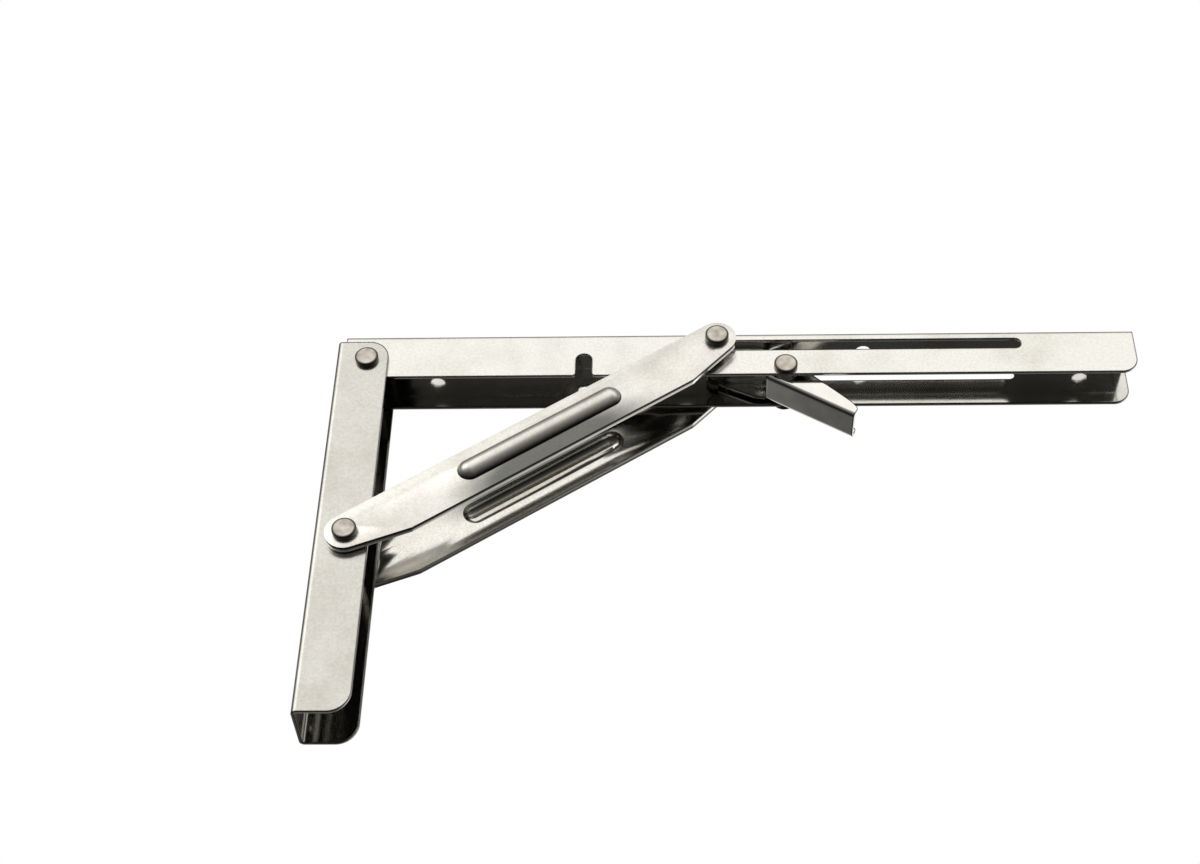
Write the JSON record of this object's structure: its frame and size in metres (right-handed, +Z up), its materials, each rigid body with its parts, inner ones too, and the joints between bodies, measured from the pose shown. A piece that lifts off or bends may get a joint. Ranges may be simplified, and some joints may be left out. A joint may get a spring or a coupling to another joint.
{
  "type": "folding bracket",
  "caption": "Polished stainless bracket that holds a drop leaf or shelf level and folds flat down the wall when the spring lever under its table arm is pressed.",
  "frame": {"origin": "on the wall face of the wall arm, at the middle of its row of wall screws", "axes": "X runs out from the wall along the open table arm, Y runs across the bracket to its rear side, Z is up"},
  "size_m": [0.308, 0.0362, 0.1705],
  "materials": {
    "arm_steel": "mirror-polished stainless sheet",
    "brace_steel": "mirror-polished stainless plate",
    "lever_steel": "polished stainless sheet",
    "rivet_steel": "plain stainless, lightly tumbled",
    "washer_steel": "plain stainless",
    "spring_steel": "drawn spring wire"
  },
  "bodies": {
    "wall_side": {"wall_arm": "arm_steel", "hinge_pin": "rivet_steel"},
    "table_side": {"table_arm": "arm_steel", "hinge_sleeve": "rivet_steel", "lever_pin": "rivet_steel", "lever_washer_front": "washer_steel", "lever_washer_rear": "washer_steel", "lever_spring": "spring_steel"},
    "brace": {"brace_plate_front": "brace_steel", "brace_plate_rear": "brace_steel", "foot_pin": "rivet_steel", "foot_washer_front": "washer_steel", "foot_washer_rear": "washer_steel", "slider_rivet_front": "rivet_steel", "slider_rivet_rear": "rivet_steel"},
    "slider": {"slider_stud_front": "rivet_steel", "slider_stud_rear": "rivet_steel", "slider_washer_front": "washer_steel", "slider_washer_rear": "washer_steel"},
    "lever": {"release_lever": "lever_steel"}
  },
  "joints": [
    {"name": "arm_fold", "type": "hinge", "parent": "wall_side", "child": "table_side", "pos_m": [0.012, 0, 0.085], "axis": [0, 1, 0], "range_deg": [0, 90]},
    {"name": "brace_swing", "type": "hinge", "parent": "wall_side", "child": "brace", "pos_m": [0.012, 0, 0.0008], "axis": [0, 1, 0], "range_deg": [0, 121.6]},
    {"name": "slider_travel", "type": "slide", "parent": "table_side", "child": "slider", "axis": [1, 0, 0], "range_m": [0, 0.1117]},
    {"name": "lever_press", "type": "hinge", "parent": "table_side", "child": "lever", "pos_m": [0.1739, 0, 0.0811], "axis": [0, -1, 0], "range_deg": [0, 20], "stiffness_Nm_per_rad": 0.15, "springref_deg": -14.32, "deforming": ["lever_spring"]}
  ],
  "couplings": [
    {"joint": "brace_swing", "follows": "arm_fold", "ratio": 1.3499},
    {"joint": "slider_travel", "follows": "arm_fold", "m_per_rad": 0.071051}
  ]
}
